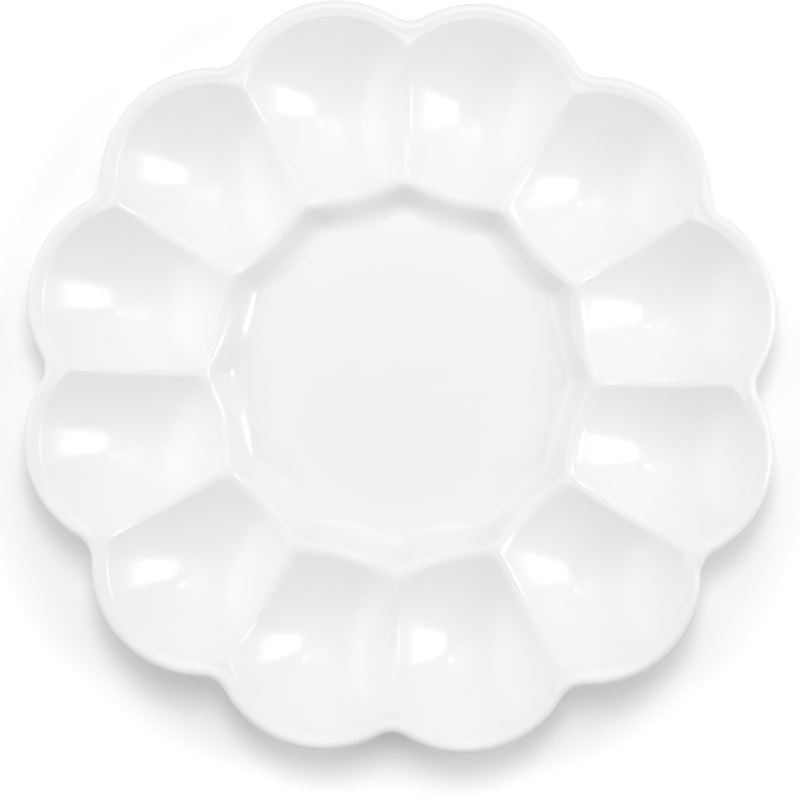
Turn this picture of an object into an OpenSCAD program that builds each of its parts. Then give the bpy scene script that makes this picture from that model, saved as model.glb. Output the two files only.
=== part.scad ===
/* [Platter] */
// Width of the platter across two opposite lobes
platter_w = 310; // [300:1:330]
// Height of the rim above the table
rim_h = 30; // [28:0.5:36]
// Thickness of the ware under the middle of a cup
cup_wall = 4.5; // [3:0.1:6]
// Thickness of the floor of the centre dish
dish_floor_t = 5; // [3:0.1:6]

/* [Rim] */
// Radius of each lobe of the outline
lobe_r = 45.2; // [44:0.1:47]
// Radius of the fillet in the notch between two lobes
notch_r = 11; // [8:0.5:12]
// Width of the rim, from the edge of the platter to the mouth of a cup
rim_w = 6; // [5:0.1:8]
// Thickness of the rim at the edge of the platter
rim_t = 3.8; // [3:0.1:5]
// Width of the round along the top of the edge
edge_round_w = 2.6; // [1.5:0.1:3.5]
// Height of the round along the top of the edge
edge_round_h = 2.1; // [1:0.1:2.1]
// Width of the round below the edge
lip_round_w = 2.2; // [1:0.1:3]
// Height of the round below the edge
lip_round_h = 0.7; // [0.3:0.1:0.8]
// Drop of the rim's top from the round down to the mouth of a cup
rim_slope = 0.8; // [0:0.1:1.5]

/* [Cups] */
// Distance of the lowest point of a cup from the centre of the platter
cup_r = 108.9; // [107:0.1:110]
// Depth of a cup below the rim
cup_depth = 20; // [16:0.5:22]
// Share by which a bowl's outline reaches further towards the dish than its rim's arc would
bowl_stretch = 0.28; // [0.2:0.01:0.34]
// Width of the level crest of the wall between two cups
ridge_w = 2.9; // [2:0.1:4]
// Width of that crest where it meets the rim
ridge_end_w = 1.4; // [1:0.1:2]
// Length over which the crest narrows to it
ridge_taper = 22; // [10:1:30]
// Width over which the shoulders of that crest are rounded
shoulder_round = 0.9; // [0.4:0.1:1.4]
// Height over which the other walls' tops are rounded into a cup
crest_round = 0.6; // [0.3:0.1:1]
// Height of the web between two cups, from its crest to the edges of its underside
web_t = 7.5; // [6:0.5:8]
// Height over which the underside of that web is rounded
web_round = 2.5; // [1:0.1:3]
// Length over which the web thins to the rim
web_taper = 12; // [8:0.5:16]

/* [Centre dish] */
// Distance of the crest round the dish from the centre, on the line to a cup
dish_crest_r = 76.3; // [75:0.1:77]
// Radius of the arc that this crest follows in front of each cup
dish_arc_r = 78; // [70:0.5:95]
// Gap from this crest to the line of the dish's wall, at the crest's height
dish_crest_w = 2.6; // [2:0.1:3]
// Gap from this crest to the mouth of a cup
cup_crest_w = 1; // [0.6:0.1:1.4]
// Height over which this crest is rounded into the dish
dish_crest_round = 1.8; // [0.8:0.1:2]
// Distance of the edge of the floor from the centre, on the line to a cup
dish_floor_r = 65.2; // [64:0.1:66.5]
// Radius of the arc that the edge of the floor follows in front of each cup
floor_arc_r = 68.7; // [64:0.1:85]
// Turn over which the wall's corners between two cups are rounded
dish_corner_turn = 2.9; // [1:0.1:4]
// Height over which the floor of the dish rounds up into its wall
floor_round = 3.4; // [2:0.1:4]

/* [Foot] */
// Radius of the middle of the foot ring
foot_r = 67; // [60:0.5:67.5]
// Width of the foot ring
foot_w = 6; // [4:0.5:7]
// Height of the foot ring
foot_h = 7.6; // [5.5:0.1:7.6]
// Chamfer along both edges of the foot ring
foot_chamfer = 0.8; // [0.3:0.1:1.2]

/* [Hidden] */
cup_count = 12;
// Ledge of the dish's flat underside outside the foot ring
base_ledge = 0.6;
// Gap from the dish's crest to where the walls' tops start to rise, and the length over which they
// rise to the height of the rim
rise_gap = 3;
rise_length = 30;

// Half of the angle that a cup takes of the platter
half_angle = 180 / cup_count;

// Heights above the table
dish_floor_z = foot_h + dish_floor_t;
cup_low_z = rim_h - cup_depth;
bowl_h = cup_depth - rim_slope;
cup_base_z = cup_low_z - cup_wall;

// Outline: the centre of a lobe's arc, then the centre of a notch's fillet and the notch itself
lobe_c = platter_w / 2 - lobe_r;
lobe_side = lobe_c * sin(half_angle);
notch_c = lobe_c * cos(half_angle) + sqrt(pow(lobe_r + notch_r, 2) - pow(lobe_side, 2));
notch_end = notch_c - notch_r;
// Bearing from the lobe's centre at which its arc gives way to the fillet
lobe_turn = atan2(notch_c * sin(half_angle), notch_c * cos(half_angle) - lobe_c);
// Sweep of the fillet from there to the middle of the notch
notch_turn = lobe_turn - half_angle;

// Mouth of a cup: the rim's inner arc, and where it meets the line between two cups
mouth_r = lobe_r - rim_w;
ridge_end_r = lobe_c * cos(half_angle) + sqrt(pow(mouth_r, 2) - pow(lobe_side, 2));

// Crest round the dish: the centre of its arc, and its corner between two cups
crest_c = dish_crest_r + dish_arc_r;
floor_c = dish_floor_r + floor_arc_r;
corner_r = near_arc(crest_c, dish_arc_r, half_angle);

// Gap from a cup's lowest point to the line between two cups
line_gap = cup_r * sin(half_angle);
dish_base_r = foot_r + foot_w / 2 + base_ledge;

// Share of that turn by which the rounded corners are put back outwards
corner_share = 0.4;

// Powers that shape the surfaces: a higher one is flatter below and steeper above
bowl_power = 1.47;
base_power = 2.2;
// Share of the way to a bowl's outline over which its lowest point is rounded
bowl_tip = 0.2;
// Powers that round the corners of a mouth: a higher one leaves a sharper corner
outer_corner_power = 24;
inner_corner_power = 36;

// Counts of the steps round half of a cup's boundary
lobe_steps = 6;
notch_steps = 3;
crest_steps = 4;
// Places along the line between two cups, from the notch to the dish's corner
ridge_shares = [0.015, 0.041, 0.1, 0.155, 0.21, 0.28, 0.36, 0.46, 0.6, 0.8, 0.92, 1];
// Places of the rings in a cup, on the way from its lowest point to its mouth
bowl_shares = [0.3, 0.52, 0.7, 0.84, 0.94, 1];
// Places of the rings on a wall's top, on the way from the mouth to the boundary
top_shares = [0.2, 0.56, 0.85, 1];
// Places of the rings under a cup, on the way from its boundary to its lowest point
under_shares = [0.98, 0.94, 0.86, 0.7, 0.5, 0.26];
// Places of the rings in the dish's wall, on the way from its floor to its crest
dish_wall_shares = [-0.5, -0.25, 0, 0.25, 0.5, 0.78, 1, 1.2];
// Place of the ring on the dish's floor, on the way from its middle to its edge
dish_floor_share = 0.6;
// Places of the rings on the dish's outer side, on the way from its boundary to its base
dish_side_shares = [0.7, 0.4, 0.15];

function cup_name(k) = str("egg_cup_", k < 9 ? "0" : "", k + 1);

// Plain helpers: a smooth step from 0 to 1, and a minimum rounded over a height
function ease(x) = let (t = min(max(x, 0), 1)) t * t * (3 - 2 * t);
function soft_min(a, b, round_h) =
    let (h = max(round_h - abs(a - b), 0) / round_h) min(a, b) - h * h * round_h / 4;
function soft_max(a, b, round_h) = -soft_min(-a, -b, round_h);
function spun(p, angle) =
    [p.x * cos(angle) - p.y * sin(angle), p.x * sin(angle) + p.y * cos(angle)];

// Distance from the platter's centre to the near side of an arc centred at c on the cup's line
function near_arc(c, r, bearing) =
    c * cos(bearing) - sqrt(pow(r, 2) - pow(c * sin(bearing), 2));
// Distance from a cup's lowest point to an arc centred at c on its line, along a bearing
function far_arc(c, r, bearing) =
    let (e = cup_r - c) sqrt(pow(r, 2) - pow(e * sin(bearing), 2)) - e * cos(bearing);
// Bearing of a point from the cup's own line, as seen from the platter's centre
function cup_bearing(p) =
    let (a = atan2(p.y, p.x) + 360) (a % (2 * half_angle)) - half_angle;

// The bearing at which the dish's wall is read, which rounds its corners between two cups
function soft_bearing(bearing) =
    half_angle - norm([half_angle - abs(bearing), dish_corner_turn]) + corner_share * dish_corner_turn;

// Gap from the outline inwards to a point of a cup's sector, laid along the x axis
function edge_gap(p) =
    let (
        q = [p.x, abs(p.y)],
        c = [lobe_c, 0],
        f = notch_c * [cos(half_angle), sin(half_angle)],
        beyond = cross(q - c, f - c) < 0
    )
    beyond ? norm(q - f) - notch_r : lobe_r - norm(q - c);

// Distance from a cup's lowest point to its bowl's outline at the height of the rim: the rim's inner
// arc, stretched towards the dish
function bowl_reach(bearing) =
    let (back = max(-cos(bearing), 0))
    far_arc(lobe_c, mouth_r, bearing) * (1 + bowl_stretch * back * back);

// Share of a bowl's height at a share of the way to its outline, with its lowest point rounded
function bowl_rise(share) = pow(norm([share, bowl_tip]), bowl_power) - pow(bowl_tip, bowl_power);

// Height of a bowl, level across the walls between the cups, since it is read at their shoulders
function bowl_height(p) =
    let (
        gap = p.x * sin(half_angle) - abs(p.y) * cos(half_angle),
        along = p.x * cos(half_angle) + abs(p.y) * sin(half_angle),
        taper = ease((along - ridge_end_r + ridge_taper) / ridge_taper),
        half_w = (ridge_w + (ridge_end_w - ridge_w) * taper) / 2,
        held = soft_max(gap, half_w, shoulder_round),
        way = along * [cos(half_angle), sin(half_angle)]
            + held * [sin(half_angle), -cos(half_angle)] - [cup_r, 0]
    )
    cup_low_z + bowl_h * bowl_rise(norm(way) / bowl_reach(atan2(way.y, way.x))) / bowl_rise(1);

// Height of the walls' tops at a point of a cup's sector: the dish's crest, rising outwards to the
// rim, which is rounded along its edge and slopes down to the mouth
function top_height(p) =
    let (
        gap = edge_gap(p),
        out = max(1 - gap / edge_round_w, 0),
        round_drop = edge_round_h * (1 - sqrt(max(1 - out * out, 0))),
        slope = rim_slope * ease((gap - edge_round_w) / (rim_w - edge_round_w)),
        bearing = min(abs(atan2(p.y, p.x)), half_angle),
        dir = [cos(bearing), sin(bearing)],
        crest_r = near_arc(crest_c, dish_arc_r, bearing),
        crest = bowl_height((crest_r + cup_crest_w) * dir),
        rise = ease((norm(p) - crest_r - rise_gap) / rise_length)
    )
    crest + (rim_h - round_drop - slope - crest) * rise;

// Distance from a cup's lowest point to its mouth: the nearest of the rim, the shoulders of the walls
// and the dish's crest, with the corners between them rounded
function mouth_reach(bearing) =
    let (
        a = abs(bearing),
        lean = max(sin(a - half_angle), 0) / (line_gap - ridge_w / 2),
        dish = far_arc(crest_c, dish_arc_r - cup_crest_w, a),
        inner = pow(pow(lean, inner_corner_power) + pow(1 / dish, inner_corner_power),
            -1 / inner_corner_power)
    )
    pow(pow(1 / bowl_reach(a), outer_corner_power) + pow(1 / inner, outer_corner_power),
        -1 / outer_corner_power);

// Height of the ware's top in a cup's sector: the bowl, cut off softly by the walls' tops
function cup_height(p) = soft_min(bowl_height(p), top_height(p), crest_round);

// Height of the ware's underside along a boundary, by the distance from the platter's centre:
// the wall's top less the web, and at the edge of the platter the rim less its thickness
function under_height(r) =
    let (
        wall = cup_height(min(r, ridge_end_r) * [cos(half_angle), sin(half_angle)]),
        web = wall - web_t
    )
    web + (rim_h - rim_t - web) * ease((r - notch_end + web_taper) / web_taper);
// Round of the web's underside there, which ends at the edge of the platter
function under_round(r) = web_round * ease((notch_end - r) / web_taper);

// Half of a cup's boundary in plan: the lobe, the notch, the wall to the next cup, the dish's crest
half_boundary = concat(
    [for (i = [0 : lobe_steps])
        [lobe_c, 0] + lobe_r * [cos(lobe_turn * i / lobe_steps), sin(lobe_turn * i / lobe_steps)]],
    [for (i = [1 : notch_steps])
        let (a = 180 + lobe_turn - notch_turn * i / notch_steps)
            notch_c * [cos(half_angle), sin(half_angle)] + notch_r * [cos(a), sin(a)]],
    [for (s = ridge_shares)
        (notch_end + s * (corner_r - notch_end)) * [cos(half_angle), sin(half_angle)]],
    [for (i = [1 : crest_steps])
        let (a = half_angle * (1 - i / crest_steps))
            near_arc(crest_c, dish_arc_r, a) * [cos(a), sin(a)]]
);
half_count = len(half_boundary);
boundary = concat(
    half_boundary,
    [for (i = [half_count - 2 : -1 : 1]) [half_boundary[i].x, -half_boundary[i].y]]
);

// Height of a cup's underside: its bulge, rounded into the web and up into the edge of the platter
function bulge_height(p, share, edge, round_h) =
    let (
        bulge = cup_base_z + (edge - cup_base_z) * pow(share, base_power),
        out = max(1 - edge_gap(p) / lip_round_w, 0),
        lip = lip_round_h * (1 - sqrt(max(1 - out * out, 0)))
    )
    lip + (round_h > 0 ? soft_min(bulge, edge - round_h, round_h) : bulge);

// A cup's profile from its lowest point over the wall's top to its boundary and back below
function cup_profile(end) =
    let (
        low = [cup_r, 0],
        way = end - low,
        mouth = low + mouth_reach(atan2(way.y, way.x)) * way / norm(way),
        edge = under_height(norm(end)),
        round_h = under_round(norm(end))
    )
    concat(
        [for (s = bowl_shares) let (p = low + s * (mouth - low)) [p.x, p.y, cup_height(p)]],
        [for (s = top_shares) let (p = mouth + s * (end - mouth)) [p.x, p.y, cup_height(p)]],
        [[end.x, end.y, bulge_height(end, 1, edge, round_h)]],
        [for (s = under_shares)
            let (p = low + s * way) [p.x, p.y, bulge_height(p, s, edge, round_h)]]
    );

// The dish's profile from the middle of its floor to its boundary and back below
function dish_profile(end) =
    let (
        r = norm(end),
        bearing = cup_bearing(end),
        dir = end / r,
        soft = soft_bearing(bearing),
        floor_r = near_arc(floor_c, floor_arc_r, soft),
        wall_w = near_arc(crest_c, dish_arc_r + dish_crest_w, soft) - floor_r,
        crest = cup_height(r * [cos(bearing), sin(bearing)]),
        edge = under_height(r) - under_round(r)
    )
    concat(
        [[floor_r * dish_floor_share * dir.x, floor_r * dish_floor_share * dir.y, dish_floor_z]],
        [for (s = dish_wall_shares)
            let (p = (floor_r + wall_w * s) * dir)
                [p.x, p.y, soft_min(
                    soft_max(dish_floor_z, dish_floor_z + (crest - dish_floor_z) * s, floor_round),
                    crest, dish_crest_round)]],
        [[end.x, end.y, crest], [end.x, end.y, edge]],
        [for (s = dish_side_shares)
            let (p = (dish_base_r + (r - dish_base_r) * s) * dir)
                [p.x, p.y, foot_h + (edge - foot_h) * sqrt(1 - pow(1 - s, 2))]],
        [[dish_base_r * dir.x, dish_base_r * dir.y, foot_h]]
    );

// A closed skin over profiles that run from one pole to the other, set side by side round them
module skin(profiles, first, last) {
    n = len(profiles);
    m = len(profiles[0]);
    points = concat([first], [for (p = profiles) each p], [last]);
    function at(i, j) = 1 + (i % n) * m + j;
    polyhedron(points, concat(
        [for (i = [0 : n - 1]) [0, at(i + 1, 0), at(i, 0)]],
        [for (i = [0 : n - 1], j = [0 : m - 2]) [at(i, j), at(i + 1, j), at(i + 1, j + 1)]],
        [for (i = [0 : n - 1], j = [0 : m - 2]) [at(i, j), at(i + 1, j + 1), at(i, j + 1)]],
        [for (i = [0 : n - 1]) [at(i, m - 1), at(i + 1, m - 1), n * m + 1]]
    ));
}

// One cup with its lobe of the rim, its halves of the walls beside it and its bulge below
module egg_cup(k) {
    color("white")
        rotate((2 * k + 1) * half_angle)
            skin([for (p = boundary) cup_profile(p)],
                [cup_r, 0, cup_low_z], [cup_r, 0, cup_base_z]);
}

// The lobed dish in the middle, up to the crest that it shares with the cups
module centre_dish() {
    crest = [for (i = [-crest_steps : crest_steps - 1])
        near_arc(crest_c, dish_arc_r, half_angle * i / crest_steps)
            * [cos(half_angle * i / crest_steps), sin(half_angle * i / crest_steps)]];
    rim = [for (k = [0 : cup_count - 1], p = crest) spun(p, (2 * k + 1) * half_angle)];
    color("whitesmoke")
        skin([for (p = rim) dish_profile(p)], [0, 0, dish_floor_z], [0, 0, foot_h]);
}

// The unglazed ring that the platter stands on
module foot_ring() {
    inner = foot_r - foot_w / 2;
    outer = foot_r + foot_w / 2;
    color("linen")
        rotate_extrude($fn = 180)
            polygon([
                [inner, foot_h],
                [inner, foot_chamfer],
                [inner + foot_chamfer, 0],
                [outer - foot_chamfer, 0],
                [outer, foot_chamfer],
                [outer, foot_h]
            ]);
}

for (k = [0 : cup_count - 1])
    egg_cup(k);
centre_dish();
foot_ring();
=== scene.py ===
"""A deviled egg platter in glazed white porcelain, seen from straight above in a white studio."""

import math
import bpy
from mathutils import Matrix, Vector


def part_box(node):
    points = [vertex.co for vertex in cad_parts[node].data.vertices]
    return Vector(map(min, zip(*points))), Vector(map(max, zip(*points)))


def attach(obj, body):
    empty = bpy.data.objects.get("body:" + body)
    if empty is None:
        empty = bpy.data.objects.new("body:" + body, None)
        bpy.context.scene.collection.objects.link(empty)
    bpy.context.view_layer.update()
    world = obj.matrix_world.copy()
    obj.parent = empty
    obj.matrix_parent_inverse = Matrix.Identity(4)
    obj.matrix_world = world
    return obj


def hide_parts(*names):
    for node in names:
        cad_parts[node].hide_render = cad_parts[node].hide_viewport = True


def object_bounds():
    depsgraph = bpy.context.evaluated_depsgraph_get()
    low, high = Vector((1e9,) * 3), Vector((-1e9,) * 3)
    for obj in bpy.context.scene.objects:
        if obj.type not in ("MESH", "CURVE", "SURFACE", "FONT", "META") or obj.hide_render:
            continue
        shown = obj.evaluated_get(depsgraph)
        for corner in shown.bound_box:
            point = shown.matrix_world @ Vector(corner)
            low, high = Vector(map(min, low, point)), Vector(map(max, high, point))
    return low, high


bl_info = {
    "name": "Deviled Egg Platter",
    "version": (1, 0, 0),
    "blender": (4, 5, 0),
    "location": "View3D > Sidebar > Platter",
    "description": "Builds the glazed surfaces and bare foot of an egg platter, and its studio",
    "category": "Object",
}

import bpy
import numpy as np
from bpy.props import FloatProperty, FloatVectorProperty, IntProperty, PointerProperty
from bpy.types import Operator, Panel, PropertyGroup
from mathutils import Vector

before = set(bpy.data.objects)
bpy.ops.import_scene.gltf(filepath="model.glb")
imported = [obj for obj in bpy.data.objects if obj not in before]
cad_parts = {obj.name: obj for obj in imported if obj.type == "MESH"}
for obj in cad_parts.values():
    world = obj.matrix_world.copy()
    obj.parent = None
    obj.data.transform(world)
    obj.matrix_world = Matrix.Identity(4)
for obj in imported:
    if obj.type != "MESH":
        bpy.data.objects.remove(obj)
CAD_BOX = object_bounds()
MM = 0.001


def length(name, description, millimetres):
    """A property that holds a length in metres, from its default in millimetres."""
    return FloatProperty(
        name=name, description=description, default=millimetres * MM, min=0.0, precision=5,
        subtype="DISTANCE", unit="LENGTH",
    )


def colour(name, description, default):
    """A property that holds a linear colour."""
    return FloatVectorProperty(
        name=name, description=description, default=default, size=3, min=0.0, max=1.0,
        subtype="COLOR",
    )


def factor(name, description, default, high=1.0):
    """A property that holds a plain number from zero up."""
    return FloatProperty(name=name, description=description, default=default, min=0.0, max=high)


class PlatterSizes(PropertyGroup):
    """Sizes of the platter that its frame's boxes don't give."""

    cup_count: IntProperty(
        name="Cups", description="Number of cups in the ring", default=12, min=3
    )
    lobe_radius: length("Lobe radius", "Radius of each lobe of the outline", 45.2)
    notch_radius: length("Notch radius", "Fillet in the notch between two lobes", 11.0)
    rim_width: length("Rim width", "From the platter's edge to a cup's mouth", 6.0)
    rim_thickness: length("Rim thickness", "Thickness of the rim at the edge", 3.8)
    edge_round_width: length("Edge round width", "Width of the round along the edge's top", 2.6)
    edge_round_height: length("Edge round height", "Height of that round", 2.1)
    lip_round_width: length("Lip round width", "Width of the round below the edge", 2.2)
    rim_slope: length("Rim slope", "Drop of the rim's top towards a cup's mouth", 0.8)
    cup_distance: length("Cup distance", "From the middle to a cup's lowest point", 108.9)
    cup_depth: length("Cup depth", "Depth of a cup below the rim", 20.0)
    bowl_stretch: factor("Bowl stretch", "Share by which a bowl reaches further inwards", 0.28)
    ridge_width: length("Ridge width", "Width of the crest between two cups", 2.9)
    ridge_end_width: length("Ridge end width", "Width of that crest where it meets the rim", 1.4)
    ridge_taper: length("Ridge taper", "Length over which it narrows", 22.0)
    web_height: length("Web height", "From that crest down to its underside", 7.5)
    web_round: length("Web round", "Height over which the web's underside is rounded", 2.5)
    web_taper: length("Web taper", "Length over which the web thins to the rim", 12.0)
    crest_round: length("Crest round", "Height over which a wall's top is rounded", 0.6)
    shoulder_round: length("Shoulder round", "Width over which a ridge's shoulder is rounded", 0.9)
    dish_crest_distance: length("Dish crest distance", "From the middle to the dish's crest", 76.3)
    dish_arc_radius: length("Dish arc radius", "Arc of that crest before each cup", 78.0)
    dish_crest_width: length("Dish crest width", "From that crest to the wall's line", 2.6)
    cup_crest_width: length("Cup crest width", "From that crest to a cup's mouth", 1.0)
    dish_crest_round: length("Dish crest round", "Height over which it rounds into the dish", 1.8)
    rise_gap: length("Rise gap", "From the dish's crest to where the tops start to rise", 3.0)
    rise_length: length("Rise length", "Length over which they rise to the rim's height", 30.0)
    dish_floor_thickness: length("Dish floor thickness", "Thickness of the dish's floor", 5.0)
    dish_floor_distance: length("Dish floor distance", "From the middle to the floor's edge", 65.2)
    floor_arc_radius: length("Floor arc radius", "Arc of the floor's edge before each cup", 68.7)
    floor_round: length("Floor round", "Height over which the floor rounds into the wall", 3.4)
    base_ledge: length("Base ledge", "Flat underside outside the foot ring", 0.6)
    foot_width: length("Foot width", "Width of the foot ring", 6.0)
    foot_cove: length("Foot cove", "Round where the foot ring leaves the underside", 1.2)
    foot_edge: length("Foot edge", "Round along the foot ring's lower edges", 0.8)


class PlatterLook(PropertyGroup):
    """Colours and finish of the porcelain."""

    glaze_colour: colour("Glaze", "Colour of the glazed porcelain", (0.83, 0.83, 0.825))
    pooled_colour: colour("Pooled glaze", "Its colour where it lies thick", (0.815, 0.82, 0.82))
    glaze_roughness: factor("Glaze roughness", "Roughness of the glaze", 0.045)
    wave_height: length("Wave height", "Height of the slow waves in the glaze", 0.05)
    bare_colour: colour("Bare porcelain", "Colour of the unglazed foot", (0.78, 0.755, 0.71))
    bare_roughness: factor("Bare roughness", "Roughness of the unglazed foot", 0.72)
    grain_height: length("Grain height", "Height of the grain in the unglazed foot", 0.05)


class StudioLook(PropertyGroup):
    """The floor, the sky and the camera."""

    floor_colour: colour("Floor", "Colour of the floor", (0.95, 0.95, 0.95))
    floor_lift: factor("Floor lift", "White added to the floor for the camera", 0.07)
    floor_reach: length("Floor reach", "Where the floor starts to turn plain white", 165.0)
    floor_size: length("Floor size", "Half of the floor's width", 3000.0)
    sky_level: factor("Sky level", "Light from all round", 0.262, 5.0)
    camera_height: length("Camera height", "Camera above the rim", 1597.0)
    camera_south: length("Camera south", "Shift of the camera to the south", 9.36)
    camera_roll: FloatProperty(
        name="Camera roll", description="Turn of the camera about its line of sight",
        default=math.radians(1.35), subtype="ANGLE", unit="ROTATION",
    )
    camera_lens: FloatProperty(
        name="Camera lens", description="Focal length in millimetres", default=178.4, min=1.0,
        subtype="DISTANCE_CAMERA", unit="CAMERA",
    )


# The film's width in millimetres, and how far the camera sees in metres
FILM_WIDTH = 36.0
CAMERA_REACH = 20.0

# Rings and steps of the surfaces' grids, and the powers by which rings crowd to one side
CREST_STEPS = 20
BOWL_RINGS, BOWL_CROWD = 56, 1.5
LIP_RINGS, LIP_CROWD = 30, 1.7
BULGE_RINGS, BULGE_CROWD = 40, 1.7
FLOOR_RINGS, WALL_RINGS, BASE_RINGS = 12, 56, 12
SIDE_RINGS, SIDE_CROWD = 24, 1.3
FOOT_STEPS, ROUND_POINTS = 240, 9

# The flat part of the dish's floor ends this many times the floor's round before its edge
FLOOR_MARGIN = 1.3

# Sizes of the waves in the glaze and the grain in the bare foot, as noise scales, and the grain's
# depth of shade
WAVE_SCALE = 28.0
GRAIN_SCALE = 1800.0
GRAIN_SHADE = 0.93

# Each light's name, shape, width, height, the slopes to the east and north of a surface that shows
# it to the camera, its distance in metres, its radiance, and whether it is only seen reflected in
# the glaze. The others only light the scene.
SOFTBOXES = (
    ("key", "RECTANGLE", 0.4, 0.7, 0.0, 0.166, 1.6, 9.6, False),
    ("fill_north", "RECTANGLE", 2.0, 0.8, 0.0, 0.268, 1.6, 0.83, False),
    ("fill_east", "RECTANGLE", 0.8, 0.8, 0.577, 0.0, 1.6, 4.5, False),
    ("fill_west", "RECTANGLE", 0.8, 0.8, -0.577, 0.0, 1.6, 3.9, False),
    ("east_window", "RECTANGLE", 0.28, 0.28, 0.41, 0.0, 0.71, 3.8, True),
    ("west_panel", "RECTANGLE", 1.2, 0.4, -0.53, 0.02, 0.71, 0.65, True),
    ("west_strip", "RECTANGLE", 1.05, 0.16, -0.43, 0.05, 0.71, 0.6, True),
    ("north_panel", "RECTANGLE", 0.34, 0.11, 0.03, 0.245, 0.71, 0.9, True),
    ("bulb", "ELLIPSE", 0.038, 0.038, 0.21, 0.2, 0.71, 14.0, True),
)


def ease(x):
    """A smooth step: zero below 0, one above 1, and three x squared less two x cubed between."""
    t = np.clip(x, 0.0, 1.0)
    return t * t * (3.0 - 2.0 * t)


def steps(count):
    """An even row of shares up to one, without zero."""
    return np.linspace(0.0, 1.0, count + 1)[1:]


def soft_min(a, b, height):
    """The lower of two heights, with their crossing rounded by a parabola over a given height."""
    h = np.maximum(height - np.abs(a - b), 0.0)
    return np.minimum(a, b) - h * h / (4.0 * np.maximum(height, 1e-9))


def soft_max(a, b, height):
    """The higher of two heights, with their crossing rounded in the same way."""
    return -soft_min(-a, -b, height)


def near_arc(centre, radius, bearing):
    """Distance from the platter's middle to the near side of an arc centred on a cup's line."""
    return centre * np.cos(bearing) - np.sqrt(radius**2 - (centre * np.sin(bearing)) ** 2)


def unit(vectors):
    """The vectors scaled to length one."""
    return vectors / np.maximum(np.linalg.norm(vectors, axis=-1, keepdims=True), 1e-12)


def turned(vectors, angle):
    """The vectors turned about the vertical axis."""
    c, s = math.cos(angle), math.sin(angle)
    return vectors @ np.array([[c, s, 0.0], [-s, c, 0.0], [0.0, 0.0, 1.0]])


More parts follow.
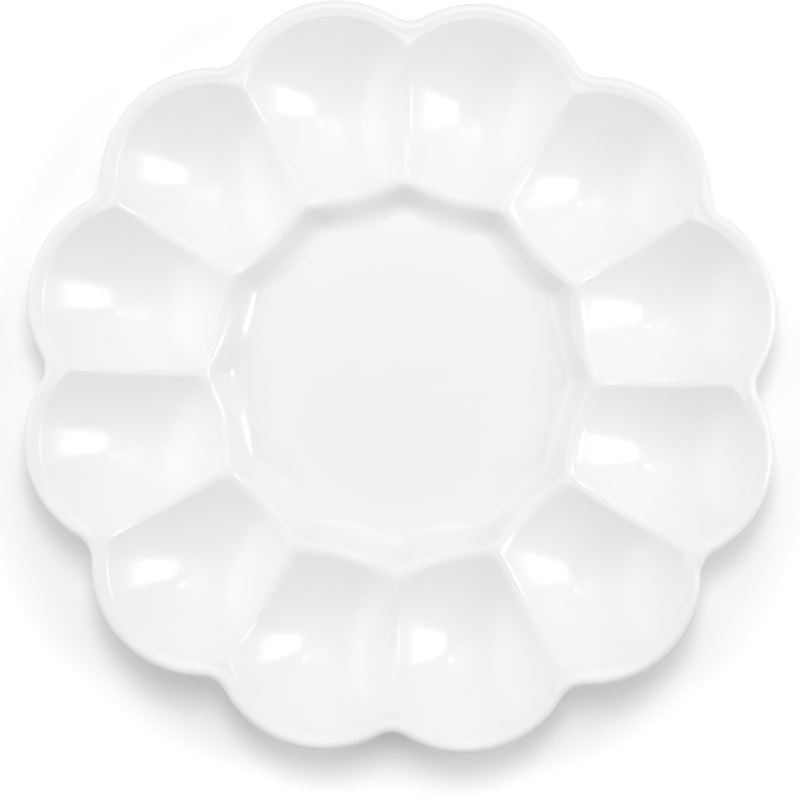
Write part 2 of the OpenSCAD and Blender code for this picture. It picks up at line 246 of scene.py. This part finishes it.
class PlatterForm:
    """Every surface of the platter as a function of place, from its sizes and its frame."""

    bowl_power = 1.47
    bowl_tip = 0.2
    corner_turn = math.radians(2.9)
    corner_share = 0.4
    base_power = 2.2
    outer_corner_power = 24
    inner_corner_power = 36
    ridge_crowd = 2.5

    def __init__(self, sizes):
        s = self.sizes = sizes
        low, high = CAD_BOX
        self.half_angle = math.pi / s.cup_count
        self.rim_z = high[2]
        self.foot_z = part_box("centre_dish")[0][2]
        self.foot_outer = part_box("foot_ring")[1][0]
        self.base_r = self.foot_outer + s.base_ledge
        cos_half, sin_half = math.cos(self.half_angle), math.sin(self.half_angle)
        self.wall_line = np.array([cos_half, sin_half])
        self.lobe_c = (high[0] - s.lobe_radius) / cos_half
        lobe_side = self.lobe_c * sin_half
        reach = s.lobe_radius + s.notch_radius
        self.notch_c = self.lobe_c * cos_half + math.sqrt(reach**2 - lobe_side**2)
        self.notch_end = self.notch_c - s.notch_radius
        self.lobe_turn = math.atan2(self.notch_c * sin_half, self.notch_c * cos_half - self.lobe_c)
        self.mouth_r = s.lobe_radius - s.rim_width
        self.ridge_end = self.lobe_c * cos_half + math.sqrt(self.mouth_r**2 - lobe_side**2)
        self.crest_c = s.dish_crest_distance + s.dish_arc_radius
        self.floor_c = s.dish_floor_distance + s.floor_arc_radius
        self.corner_r = float(near_arc(self.crest_c, s.dish_arc_radius, self.half_angle))
        self.floor_z = self.foot_z + s.dish_floor_thickness
        self.low_z = self.rim_z - s.cup_depth
        self.base_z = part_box("egg_cup_01")[0][2]

    def edge_gap(self, x, y):
        """Gap from the outline inwards: from the lobe's arc, or beyond the line to the notch's
        fillet from that fillet."""
        fx, fy = self.notch_c * self.wall_line
        y = np.abs(y)
        beyond = (x - self.lobe_c) * fy - y * (fx - self.lobe_c) < 0.0
        from_notch = np.hypot(x - fx, y - fy) - self.sizes.notch_radius
        from_lobe = self.sizes.lobe_radius - np.hypot(x - self.lobe_c, y)
        return np.where(beyond, from_notch, from_lobe)

    def top_height(self, x, y):
        """Height of the walls' tops: the dish's crest, rising outwards to the rim, which has a
        quarter ellipse along its edge and a slope down to the mouth."""
        s = self.sizes
        gap = self.edge_gap(x, y)
        out = np.maximum(1.0 - gap / s.edge_round_width, 0.0)
        edge_drop = s.edge_round_height * (1.0 - np.sqrt(np.maximum(1.0 - out**2, 0.0)))
        share = ease((gap - s.edge_round_width) / (s.rim_width - s.edge_round_width))
        rim = self.rim_z - edge_drop - s.rim_slope * share
        bearing = np.minimum(np.abs(np.arctan2(y, x)), self.half_angle)
        crest_r = near_arc(self.crest_c, s.dish_arc_radius, bearing)
        mouth_r = crest_r + s.cup_crest_width
        crest = self.bowl_height(mouth_r * np.cos(bearing), mouth_r * np.sin(bearing))
        rise = ease((np.hypot(x, y) - crest_r - s.rise_gap) / s.rise_length)
        return crest + (rim - crest) * rise

    def far_arc(self, centre, radius, bearing):
        """Distance from a cup's lowest point to an arc whose centre lies on the cup's line."""
        e = self.sizes.cup_distance - centre
        return np.sqrt(radius**2 - (e * np.sin(bearing)) ** 2) - e * np.cos(bearing)

    def mouth_reach(self, bearing):
        """Distance from a cup's lowest point to its mouth: the nearest of the rim's inner arc, the
        walls' shoulders and the dish's crest by their power mean, which rounds the corners."""
        s = self.sizes
        a = np.abs(bearing)
        wall = s.cup_distance * math.sin(self.half_angle) - s.ridge_width / 2
        lean = np.maximum(np.sin(a - self.half_angle), 0.0) / wall
        dish = self.far_arc(self.crest_c, s.dish_arc_radius - s.cup_crest_width, a)
        p, q = self.inner_corner_power, self.outer_corner_power
        inner = (lean**p + dish**-p) ** (-1.0 / p)
        return (self.bowl_reach(a) ** -q + inner**-q) ** (-1.0 / q)

    def bowl_reach(self, bearing):
        """Distance from a cup's lowest point to its bowl's outline at the height of the rim's
        inner side: the rim's inner arc, stretched behind that point by the square of the bearing's
        cosine."""
        back = np.maximum(-np.cos(bearing), 0.0)
        arc = self.far_arc(self.lobe_c, self.mouth_r, bearing)
        return arc * (1.0 + self.sizes.bowl_stretch * back**2)

    def bowl_height(self, x, y):
        """Height of the bowl, which is level across each ridge, since there it is read at the
        ridge's shoulder. It grows with a power of the share of the way from the lowest point to
        the bowl's outline. The hypotenuse of that share and the tip's share rounds the lowest
        point."""
        s = self.sizes
        cos_half, sin_half = self.wall_line
        gap = x * sin_half - np.abs(y) * cos_half
        along = x * cos_half + np.abs(y) * sin_half
        taper = ease((along - self.ridge_end + s.ridge_taper) / s.ridge_taper)
        half = (s.ridge_width + (s.ridge_end_width - s.ridge_width) * taper) / 2
        held = soft_max(gap, half, s.shoulder_round)
        way_x = along * cos_half + held * sin_half - s.cup_distance
        way_y = along * sin_half - held * cos_half
        share = np.hypot(way_x, way_y) / self.bowl_reach(np.arctan2(way_y, way_x))
        p, tip = self.bowl_power, self.bowl_tip
        rise = (np.hypot(share, tip) ** p - tip**p) / (math.hypot(1.0, tip) ** p - tip**p)
        return self.low_z + (s.cup_depth - s.rim_slope) * rise

    def cup_height(self, x, y):
        """The bowl, cut off softly by the walls' tops."""
        return soft_min(self.bowl_height(x, y), self.top_height(x, y), self.sizes.crest_round)

    def wall_height(self, r):
        """Height of the walls' tops on the line between two cups, without the edge's round."""
        r = np.minimum(r, self.ridge_end)
        return self.cup_height(r * self.wall_line[0], r * self.wall_line[1])

    def under_edge(self, r):
        """Height of the underside along a boundary: the wall's less the web's, and at the edge the
        rim's thickness."""
        s = self.sizes
        share = ease((r - self.notch_end + s.web_taper) / s.web_taper)
        web = self.wall_height(r) - s.web_height
        return web + (self.rim_z - s.rim_thickness - web) * share

    def cup_under(self, x, y, t, edge, cap):
        """The bulge under a cup, whose height grows with a power of the share of the way to its
        boundary, cut off softly below the web and rounded up into the edge."""
        s = self.sizes
        bulge = self.base_z + (edge - self.base_z) * t**self.base_power
        bulge = soft_min(bulge, edge - cap, cap)
        out = np.maximum(1.0 - self.edge_gap(x, y) / s.lip_round_width, 0.0)
        lip = s.rim_thickness - s.edge_round_height
        return bulge + lip * (1.0 - np.sqrt(np.maximum(1.0 - out**2, 0.0)))

    def boundary(self, lobe, notch, ridge, crest):
        """A cup's boundary in plan, anticlockwise from the lobe's tip, the way out of the cup at
        each of its points, and which of them lie on the platter's edge: the lobe's arc, the
        notch's fillet, the straight line between two cups, and the dish's crest, then the same
        mirrored."""
        s = self.sizes
        centre = np.array([self.lobe_c, 0.0])
        notch_centre = self.notch_c * self.wall_line
        a = self.lobe_turn * np.linspace(0.0, 1.0, lobe + 1)
        lobe_way = np.stack([np.cos(a), np.sin(a)], 1)
        b = self.lobe_turn - (self.lobe_turn - self.half_angle) * steps(notch)
        notch_way = np.stack([np.cos(b), np.sin(b)], 1)
        even = steps(ridge)
        share = even - np.sin(2.0 * math.pi * even) / (self.ridge_crowd * math.pi)
        r = self.notch_end + (self.corner_r - self.notch_end) * share
        side = np.array([-self.wall_line[1], self.wall_line[0]])
        c = self.half_angle * (1.0 - steps(crest))
        arc = near_arc(self.crest_c, s.dish_arc_radius, c)
        arc_points = arc[:, None] * np.stack([np.cos(c), np.sin(c)], 1)
        points = np.concatenate([
            centre + s.lobe_radius * lobe_way,
            notch_centre - s.notch_radius * notch_way,
            r[:, None] * self.wall_line,
            arc_points,
        ])
        ways = np.concatenate([
            lobe_way,
            notch_way,
            np.repeat(side[None], ridge, 0),
            unit(arc_points - np.array([self.crest_c, 0.0])),
        ])
        at_edge = np.arange(len(points)) <= lobe + notch
        mirror = np.array([1.0, -1.0])
        points = np.concatenate([points, points[-2:0:-1] * mirror])
        ways = np.concatenate([ways, ways[-2:0:-1] * mirror])
        at_edge = np.concatenate([at_edge, at_edge[-2:0:-1]])
        return points, ways, at_edge


def grid_normals(rings, pole):
    """Normals of a surface on a grid of rings round a pole: the cross product of the differences
    along a ring, which closes on itself, and from ring to ring."""
    inner = np.repeat(pole[None, None], len(rings), 0)
    full = np.concatenate([inner, rings], 1)
    along = np.roll(rings, -1, 0) - np.roll(rings, 1, 0)
    outward = np.empty_like(rings)
    outward[:, :-1] = full[:, 2:] - full[:, :-2]
    outward[:, -1] = 3.0 * full[:, -1] - 4.0 * full[:, -2] + full[:, -3]
    return unit(np.cross(outward, along))


def ring_faces(index, pole):
    """Quads between the rings of an index grid, and the triangles of the fan round its pole."""
    a, b = index, np.roll(index, -1, 0)
    quads = np.stack([a[:, :-1], a[:, 1:], b[:, 1:], b[:, :-1]], -1).reshape(-1, 4)
    fan = np.stack([np.full(len(a), pole), a[:, 0], b[:, 0]], -1)
    return quads, fan


def closed_skin(top, under, top_pole, under_pole, joined, ways):
    """A closed body from an upper and a lower surface, each a grid of rings round its own pole.
    Their outer rings are one where joined is true. Elsewhere an upright cut face lies between
    them, and the normals beside it have no part along the way out, so that two bodies match
    there."""
    n, m = top.shape[:2]
    k = under.shape[1]
    top_normals = grid_normals(top, top_pole)
    under_normals = -grid_normals(under, under_pole)
    out = np.concatenate([ways, np.zeros((n, 1))], 1)
    for normals in (top_normals, under_normals):
        last = normals[:, -1]
        level = unit(last - out * np.sum(last * out, 1, keepdims=True))
        normals[:, -1] = np.where(joined[:, None], out, level)
    top_index = 2 + np.arange(n * m).reshape(n, m)
    under_index = 2 + n * m + np.arange(n * k).reshape(n, k)
    under_index[joined, -1] = top_index[joined, -1]
    points = np.concatenate([[top_pole, under_pole], top.reshape(-1, 3), under.reshape(-1, 3)])
    up = np.array([0.0, 0.0, 1.0])
    normals = np.concatenate([[up, -up], top_normals.reshape(-1, 3), under_normals.reshape(-1, 3)])
    quads_up, fan_up = ring_faces(top_index, 0)
    quads_down, fan_down = ring_faces(under_index, 1)
    a, b = np.arange(n), np.roll(np.arange(n), -1)
    upper, lower = top_index[:, -1], under_index[:, -1]
    band = np.stack([upper[a], lower[a], lower[b], upper[b]], -1)
    both = ~joined[a] & ~joined[b]
    starts = joined[a] & ~joined[b]
    ends = ~joined[a] & joined[b]
    surfaces = [quads_up, quads_down[:, ::-1], fan_up, fan_down[:, ::-1]]
    cuts = [band[both], band[starts][:, [0, 2, 3]], band[ends][:, [0, 1, 3]]]
    return points, normals, surfaces, cuts


def lay_mesh(name, points, normals, surfaces, cuts, material):
    """A mesh object from arrays of faces. Corners on the surfaces take the surface's own normals,
    and corners on the cut faces take the face's."""
    faces = [f for f in surfaces + cuts if len(f)]
    used = np.unique(np.concatenate([f.ravel() for f in faces]))
    renumber = np.zeros(len(points), int)
    renumber[used] = np.arange(len(used))
    corner_normals = [normals[f].reshape(-1, 3) for f in surfaces if len(f)]
    for f in cuts:
        if len(f):
            a, b, c = points[f[:, 0]], points[f[:, 1]], points[f[:, 2]]
            flat = unit(np.cross(b - a, c - a))
            corner_normals.append(np.repeat(flat, f.shape[1], 0))
    corners = np.concatenate([renumber[f].ravel() for f in faces])
    counts = np.concatenate([np.full(len(f), f.shape[1]) for f in faces])
    starts = np.concatenate([[0], np.cumsum(counts)[:-1]])
    mesh = bpy.data.meshes.new(name)
    mesh.vertices.add(len(used))
    mesh.vertices.foreach_set("co", points[used].astype(np.float32).ravel())
    mesh.loops.add(len(corners))
    mesh.loops.foreach_set("vertex_index", corners.astype(np.int32))
    mesh.polygons.add(len(counts))
    mesh.polygons.foreach_set("loop_start", starts.astype(np.int32))
    mesh.polygons.foreach_set("use_smooth", np.ones(len(counts), bool))
    mesh.update(calc_edges=True)
    if mesh.validate():
        raise RuntimeError(f"{name} had faces that don't close")
    mesh.normals_split_custom_set(np.concatenate(corner_normals).tolist())
    piece = bpy.data.objects.new(name, mesh)
    bpy.context.scene.collection.objects.link(piece)
    mesh.materials.append(material)
    return piece


def cup_body(form):
    """One cup on the x axis: its bowl and the walls' tops above, its bulge below. Rings crowd
    towards the mouth, the edge and the boundary by powers of an even step."""
    s = form.sizes
    points, ways, at_edge = form.boundary(lobe=40, notch=14, ridge=44, crest=CREST_STEPS)
    low = np.array([s.cup_distance, 0.0])
    way = points - low
    bearing = np.arctan2(way[:, 1], way[:, 0])[:, None]
    reach = form.mouth_reach(bearing)
    mouth = low + reach * unit(way)
    bowl = 1.0 - (1.0 - steps(BOWL_RINGS)) ** BOWL_CROWD
    lip = 1.0 - (1.0 - steps(LIP_RINGS)) ** LIP_CROWD
    inner = low + bowl[:, None] * (mouth - low)[:, None]
    outer = mouth[:, None] + lip[:, None] * (points - mouth)[:, None]
    plan = np.concatenate([inner, outer], 1)
    height = form.cup_height(plan[..., 0], plan[..., 1])
    top = np.concatenate([plan, height[..., None]], 2)
    even = np.linspace(0.0, 1.0, BULGE_RINGS + 1)[:-1]
    share = (1.0 - even**BULGE_CROWD)[::-1]
    plan = low + share[:, None] * way[:, None]
    r = np.linalg.norm(points, axis=1)[:, None]
    cap = np.where(at_edge[:, None], 0.0, s.web_round * ease((form.notch_end - r) / s.web_taper))
    height = form.cup_under(plan[..., 0], plan[..., 1], share, form.under_edge(r), cap)
    under = np.concatenate([plan, height[..., None]], 2)
    low_pole = np.array([low[0], 0.0, form.low_z])
    base_pole = np.array([low[0], 0.0, form.base_z])
    return closed_skin(top, under, low_pole, base_pole, at_edge, ways)


def dish_body(form):
    """The lobed dish: a flat floor, a wall whose height grows with the share of the way from the
    floor's edge to the crest's, and below a side that curves in to a flat base."""
    s = form.sizes
    one = form.half_angle * (np.arange(2 * CREST_STEPS) / CREST_STEPS - 1.0)
    turns = (2 * np.arange(s.cup_count)[:, None] + 1) * form.half_angle
    angle = (turns + one).ravel()[:, None]
    bearing = np.tile(one, s.cup_count)[:, None]
    radial = np.concatenate([np.cos(angle), np.sin(angle)], 1)
    soft = form.half_angle - np.hypot(form.half_angle - np.abs(bearing), form.corner_turn)
    soft += form.corner_share * form.corner_turn
    floor_r = near_arc(form.floor_c, s.floor_arc_radius, soft)
    crest_r = near_arc(form.crest_c, s.dish_arc_radius + s.dish_crest_width, soft)
    edge_r = near_arc(form.crest_c, s.dish_arc_radius, bearing)
    level_r = floor_r - FLOOR_MARGIN * s.floor_round
    flat = level_r * steps(FLOOR_RINGS)
    wall = level_r + (edge_r - level_r) * steps(WALL_RINGS)
    r = np.concatenate([flat, wall], 1)
    crest = form.cup_height(edge_r * np.cos(bearing), edge_r * np.sin(bearing))
    rise = form.floor_z + (crest - form.floor_z) * (r - floor_r) / (crest_r - floor_r)
    height = soft_min(soft_max(form.floor_z, rise, s.floor_round), crest, s.dish_crest_round)
    top = np.concatenate([r[..., None] * radial[:, None], height[..., None]], 2)
    base = form.base_r * steps(BASE_RINGS)
    side = form.base_r + (edge_r - form.base_r) * steps(SIDE_RINGS) ** SIDE_CROWD
    under_r = np.concatenate([np.repeat(base[None], len(angle), 0), side], 1)
    edge_z = form.under_edge(edge_r) - s.web_round
    share = np.clip((under_r - form.base_r) / (edge_r - form.base_r), 0.0, 1.0)
    height = form.foot_z + (edge_z - form.foot_z) * np.sqrt(1.0 - (1.0 - share) ** 2)
    under = np.concatenate([under_r[..., None] * radial[:, None], height[..., None]], 2)
    arc = near_arc(form.crest_c, s.dish_arc_radius, one)[:, None]
    local = arc * np.stack([np.cos(one), np.sin(one)], 1)
    out = unit(local - np.array([form.crest_c, 0.0]))
    out = np.concatenate([out, np.zeros((len(out), 1))], 1)
    ways = np.concatenate([turned(out, turn)[:, :2] for turn in turns[:, 0]])
    corner = np.tile(np.abs(one) > form.half_angle - 1e-9, s.cup_count)
    ways[corner] = radial[corner]
    floor_pole = np.array([0.0, 0.0, form.floor_z])
    base_pole = np.array([0.0, 0.0, form.foot_z])
    return closed_skin(top, under, floor_pole, base_pole, np.zeros(len(angle), bool), ways)


def foot_body(form):
    """The foot ring: a closed outline turned about the vertical axis. Quarter circles cove it into
    the underside above and round its edges below."""
    s = form.sizes
    outer, inner = form.foot_outer, form.foot_outer - s.foot_width
    quarter = np.linspace(0.0, math.pi / 2, ROUND_POINTS)
    cove_r = s.foot_cove * (1.0 - np.cos(quarter))
    cove_z = form.foot_z - s.foot_cove * (1.0 - np.sin(quarter))[::-1]
    edge_r = s.foot_edge * (1.0 - np.cos(quarter))
    edge_z = s.foot_edge * (1.0 - np.sin(quarter))
    outline_r = np.concatenate(
        [inner - cove_r[::-1], inner + edge_r, outer - edge_r[::-1], outer + cove_r]
    )
    outline_z = np.concatenate([cove_z[::-1], edge_z, edge_z[::-1], cove_z])
    n, m = FOOT_STEPS, len(outline_r)
    turn = np.linspace(0.0, 2.0 * math.pi, n + 1)[:-1, None]
    points = np.stack([
        outline_r * np.cos(turn), outline_r * np.sin(turn), np.broadcast_to(outline_z, (n, m)),
    ], 2)
    index = np.arange(n * m).reshape(n, m)
    a, b = index, np.roll(index, -1, 0)
    after = np.roll(np.arange(m), -1)
    quads = np.stack([a, b, b[:, after], a[:, after]], -1)
    wall, lid = quads[:, :-1].reshape(-1, 4), quads[:, -1]
    dr = np.gradient(outline_r)
    dz = np.gradient(outline_z)
    out = unit(np.stack([dz, -dr], 1))
    normals = np.stack([
        out[:, 0] * np.cos(turn), out[:, 0] * np.sin(turn), np.broadcast_to(out[:, 1], (n, m)),
    ], 2)
    return points.reshape(-1, 3), normals.reshape(-1, 3), [wall], [lid]


def socket_link(tree, out, node, socket):
    """Joins one node's output to another's input."""
    tree.links.new(out, node.inputs[socket])


def noise(tree, coords, scale, detail, roughness=0.5):
    """A noise texture on object coordinates."""
    node = tree.nodes.new("ShaderNodeTexNoise")
    node.inputs["Scale"].default_value = scale
    node.inputs["Detail"].default_value = detail
    node.inputs["Roughness"].default_value = roughness
    socket_link(tree, coords, node, "Vector")
    return node.outputs["Fac"]


def ramp(tree, value, stops):
    """A colour ramp through (place, colour) stops."""
    node = tree.nodes.new("ShaderNodeValToRGB")
    elements = node.color_ramp.elements
    while len(elements) < len(stops):
        elements.new(0.5)
    for element, (place, tint) in zip(elements, stops):
        element.position = place
        element.color = (*tint, 1.0)
    socket_link(tree, value, node, "Fac")
    return node.outputs["Color"]


def bump(tree, height, distance):
    """A bump of a given height in metres."""
    node = tree.nodes.new("ShaderNodeBump")
    node.inputs["Strength"].default_value = 1.0
    node.inputs["Distance"].default_value = distance
    socket_link(tree, height, node, "Height")
    return node.outputs["Normal"]


def new_material(name):
    """An empty node material with its Principled shader, and its object coordinates."""
    material = bpy.data.materials.new(name)
    material.use_nodes = True
    tree = material.node_tree
    shader = tree.nodes["Principled BSDF"]
    coords = tree.nodes.new("ShaderNodeTexCoord").outputs["Object"]
    return material, tree, shader, coords


def spread(tree, value, from_low, from_high, to_low=0.0, to_high=1.0):
    """A value carried from one span to another, and held at its ends."""
    node = tree.nodes.new("ShaderNodeMapRange")
    node.inputs["From Min"].default_value = from_low
    node.inputs["From Max"].default_value = from_high
    node.inputs["To Min"].default_value = to_low
    node.inputs["To Max"].default_value = to_high
    socket_link(tree, value, node, "Value")
    return node.outputs["Result"]


def combined(tree, operation, first, second):
    """Two values put together by a Math node."""
    node = tree.nodes.new("ShaderNodeMath")
    node.operation = operation
    socket_link(tree, first, node, 0)
    socket_link(tree, second, node, 1)
    return node.outputs["Value"]


def glaze(look, form):
    """Clear glossy glaze over white porcelain: it lies thicker low down, where it is a little
    cooler and darker, and its surface has slow waves."""
    material, tree, shader, coords = new_material("glazed_porcelain")
    split = tree.nodes.new("ShaderNodeSeparateXYZ")
    socket_link(tree, coords, split, "Vector")
    share = spread(tree, split.outputs["Z"], form.base_z, form.rim_z)
    tint = ramp(tree, share, [(0.05, look.pooled_colour), (0.6, look.glaze_colour)])
    socket_link(tree, tint, shader, "Base Color")
    shader.inputs["Roughness"].default_value = look.glaze_roughness
    waves = bump(tree, noise(tree, coords, WAVE_SCALE, 1.0), look.wave_height)
    socket_link(tree, waves, shader, "Normal")
    return material


def bare_porcelain(look):
    """Unglazed porcelain: matte, a little warm, with fine grain."""
    material, tree, shader, coords = new_material("bare_porcelain")
    grain = noise(tree, coords, GRAIN_SCALE, 3.0, 0.7)
    dark = tuple(GRAIN_SHADE * c for c in look.bare_colour)
    tint = ramp(tree, grain, [(0.3, dark), (0.65, look.bare_colour)])
    socket_link(tree, tint, shader, "Base Color")
    shader.inputs["Roughness"].default_value = look.bare_roughness
    socket_link(tree, bump(tree, grain, look.grain_height), shader, "Normal")
    return material


def white_floor(look):
    """A matte floor that keeps shadows. For the camera it is a little lighter, and plain white
    further out, so that it meets the sky without a line."""
    material, tree, shader, coords = new_material("studio_floor")
    shader.inputs["Base Color"].default_value = (*look.floor_colour, 1.0)
    shader.inputs["Roughness"].default_value = 1.0
    shader.inputs["Specular IOR Level"].default_value = 0.0
    shader.inputs["Emission Color"].default_value = (1.0, 1.0, 1.0, 1.0)
    away = tree.nodes.new("ShaderNodeVectorMath")
    away.operation = "LENGTH"
    socket_link(tree, coords, away, 0)
    reach = look.floor_reach
    lift = spread(tree, away.outputs["Value"], reach, 2.0 * reach, look.floor_lift)
    path = tree.nodes.new("ShaderNodeLightPath")
    seen = combined(tree, "MULTIPLY", path.outputs["Is Camera Ray"], lift)
    socket_link(tree, seen, shader, "Emission Strength")
    return material


class PLATTER_OT_cups(Operator):
    """Build the ring of egg cups"""

    bl_idname = "platter.cups"
    bl_label = "Egg cups"

    def execute(self, context):
        scene = context.scene
        form = PlatterForm(scene.platter_sizes)
        material = bpy.data.materials.get("glazed_porcelain") or glaze(scene.platter_look, form)
        points, normals, surfaces, cuts = cup_body(form)
        for k in range(form.sizes.cup_count):
            node = f"egg_cup_{k + 1:02d}"
            turn = (2 * k + 1) * form.half_angle
            placed = turned(points, turn), turned(normals, turn), surfaces, cuts
            piece = lay_mesh(f"glazed_{node}", *placed, material)
            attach(piece, "root")
            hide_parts(node)
        return {"FINISHED"}


class PLATTER_OT_dish(Operator):
    """Build the lobed dish in the middle"""

    bl_idname = "platter.dish"
    bl_label = "Centre dish"

    def execute(self, context):
        scene = context.scene
        form = PlatterForm(scene.platter_sizes)
        material = bpy.data.materials.get("glazed_porcelain") or glaze(scene.platter_look, form)
        piece = lay_mesh("glazed_centre_dish", *dish_body(form), material)
        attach(piece, "root")
        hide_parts("centre_dish")
        return {"FINISHED"}


class PLATTER_OT_foot(Operator):
    """Build the bare foot ring"""

    bl_idname = "platter.foot"
    bl_label = "Foot ring"

    def execute(self, context):
        scene = context.scene
        form = PlatterForm(scene.platter_sizes)
        material = bare_porcelain(scene.platter_look)
        piece = lay_mesh("bare_foot_ring", *foot_body(form), material)
        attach(piece, "root")
        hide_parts("foot_ring")
        return {"FINISHED"}


def softbox(name, shape, width, height, east, north, distance, level, reflected):
    """An area light of a given radiance, aimed at the platter. A surface of slopes x and y shows
    the camera the direction (2x, 2y, 1 - x^2 - y^2) / (1 + x^2 + y^2). A reflected light is only
    seen in the glaze, and any other lights the scene without being reflected."""
    data = bpy.data.lights.new(name, "AREA")
    data.shape = shape
    data.size, data.size_y = width, height
    data.energy = level * math.pi * width * height
    lamp = bpy.data.objects.new(name, data)
    bpy.context.scene.collection.objects.link(lamp)
    steep = east**2 + north**2
    way = Vector((2.0 * east, 2.0 * north, 1.0 - steep)) / (1.0 + steep)
    lamp.location = way * distance
    lamp.rotation_euler = way.to_track_quat("Z", "Y").to_euler()
    lamp.visible_camera = False
    lamp.visible_glossy = reflected
    lamp.visible_diffuse = not reflected


def floor_mesh(half):
    """A square floor at height zero."""
    side = np.array([-half, half])
    x, y = np.meshgrid(side, side)
    points = np.stack([x.ravel(), y.ravel(), np.zeros(4)], 1)
    mesh = bpy.data.meshes.new("studio_floor")
    mesh.from_pydata(points.tolist(), [], [(0, 1, 3, 2)])
    return mesh


def sky(look):
    """Even light from all round, which the camera and the glaze see as plain white."""
    world = bpy.data.worlds.new("studio")
    world.use_nodes = True
    tree = world.node_tree
    background = tree.nodes["Background"]
    path = tree.nodes.new("ShaderNodeLightPath")
    seen = combined(
        tree, "MAXIMUM", path.outputs["Is Camera Ray"], path.outputs["Is Glossy Ray"]
    )
    level = spread(tree, seen, 0.0, 1.0, look.sky_level)
    socket_link(tree, level, background, "Strength")
    background.inputs["Color"].default_value = (1.0, 1.0, 1.0, 1.0)
    return world


class PLATTER_OT_stage(Operator):
    """Build the floor, the lights and the camera"""

    bl_idname = "platter.stage"
    bl_label = "Studio"

    def execute(self, context):
        scene = context.scene
        look = scene.platter_studio
        floor = bpy.data.objects.new("studio_floor", floor_mesh(look.floor_size))
        scene.collection.objects.link(floor)
        floor.data.materials.append(white_floor(look))
        scene.world = sky(look)
        for light in SOFTBOXES:
            softbox(*light)
        data = bpy.data.cameras.new("camera")
        data.sensor_width = FILM_WIDTH
        data.lens = look.camera_lens
        data.clip_end = CAMERA_REACH
        camera = bpy.data.objects.new("camera", data)
        scene.collection.objects.link(camera)
        camera.location = (0.0, -look.camera_south, CAD_BOX[1][2] + look.camera_height)
        camera.rotation_euler = (0.0, 0.0, look.camera_roll)
        scene.camera = camera
        scene.view_settings.view_transform = "Standard"
        return {"FINISHED"}


class PLATTER_PT_sidebar(Panel):
    """The platter's sizes, finishes and steps in the 3D view's sidebar"""

    bl_idname = "PLATTER_PT_sidebar"
    bl_label = "Egg platter"
    bl_space_type = "VIEW_3D"
    bl_region_type = "UI"
    bl_category = "Platter"

    def draw(self, context):
        for step in STEPS:
            self.layout.operator(step.bl_idname, text=step.bl_label)
        for holder in GROUPS:
            group = getattr(context.scene, holder)
            box = self.layout.box()
            for name in group.__annotations__:
                box.prop(group, name)


GROUPS = {"platter_sizes": PlatterSizes, "platter_look": PlatterLook, "platter_studio": StudioLook}
STEPS = (PLATTER_OT_stage, PLATTER_OT_cups, PLATTER_OT_dish, PLATTER_OT_foot)


def register():
    for group in GROUPS.values():
        bpy.utils.register_class(group)
    for step in STEPS:
        bpy.utils.register_class(step)
    bpy.utils.register_class(PLATTER_PT_sidebar)
    for name, group in GROUPS.items():
        setattr(bpy.types.Scene, name, PointerProperty(type=group))


def unregister():
    for name in GROUPS:
        delattr(bpy.types.Scene, name)
    bpy.utils.unregister_class(PLATTER_PT_sidebar)
    for step in reversed(STEPS):
        bpy.utils.unregister_class(step)
    for group in reversed(GROUPS.values()):
        bpy.utils.unregister_class(group)


def main():
    """Registers the classes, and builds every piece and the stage."""
    register()
    bpy.ops.platter.stage()
    bpy.ops.platter.cups()
    bpy.ops.platter.dish()
    bpy.ops.platter.foot()


if __name__ == "__main__":
    main()
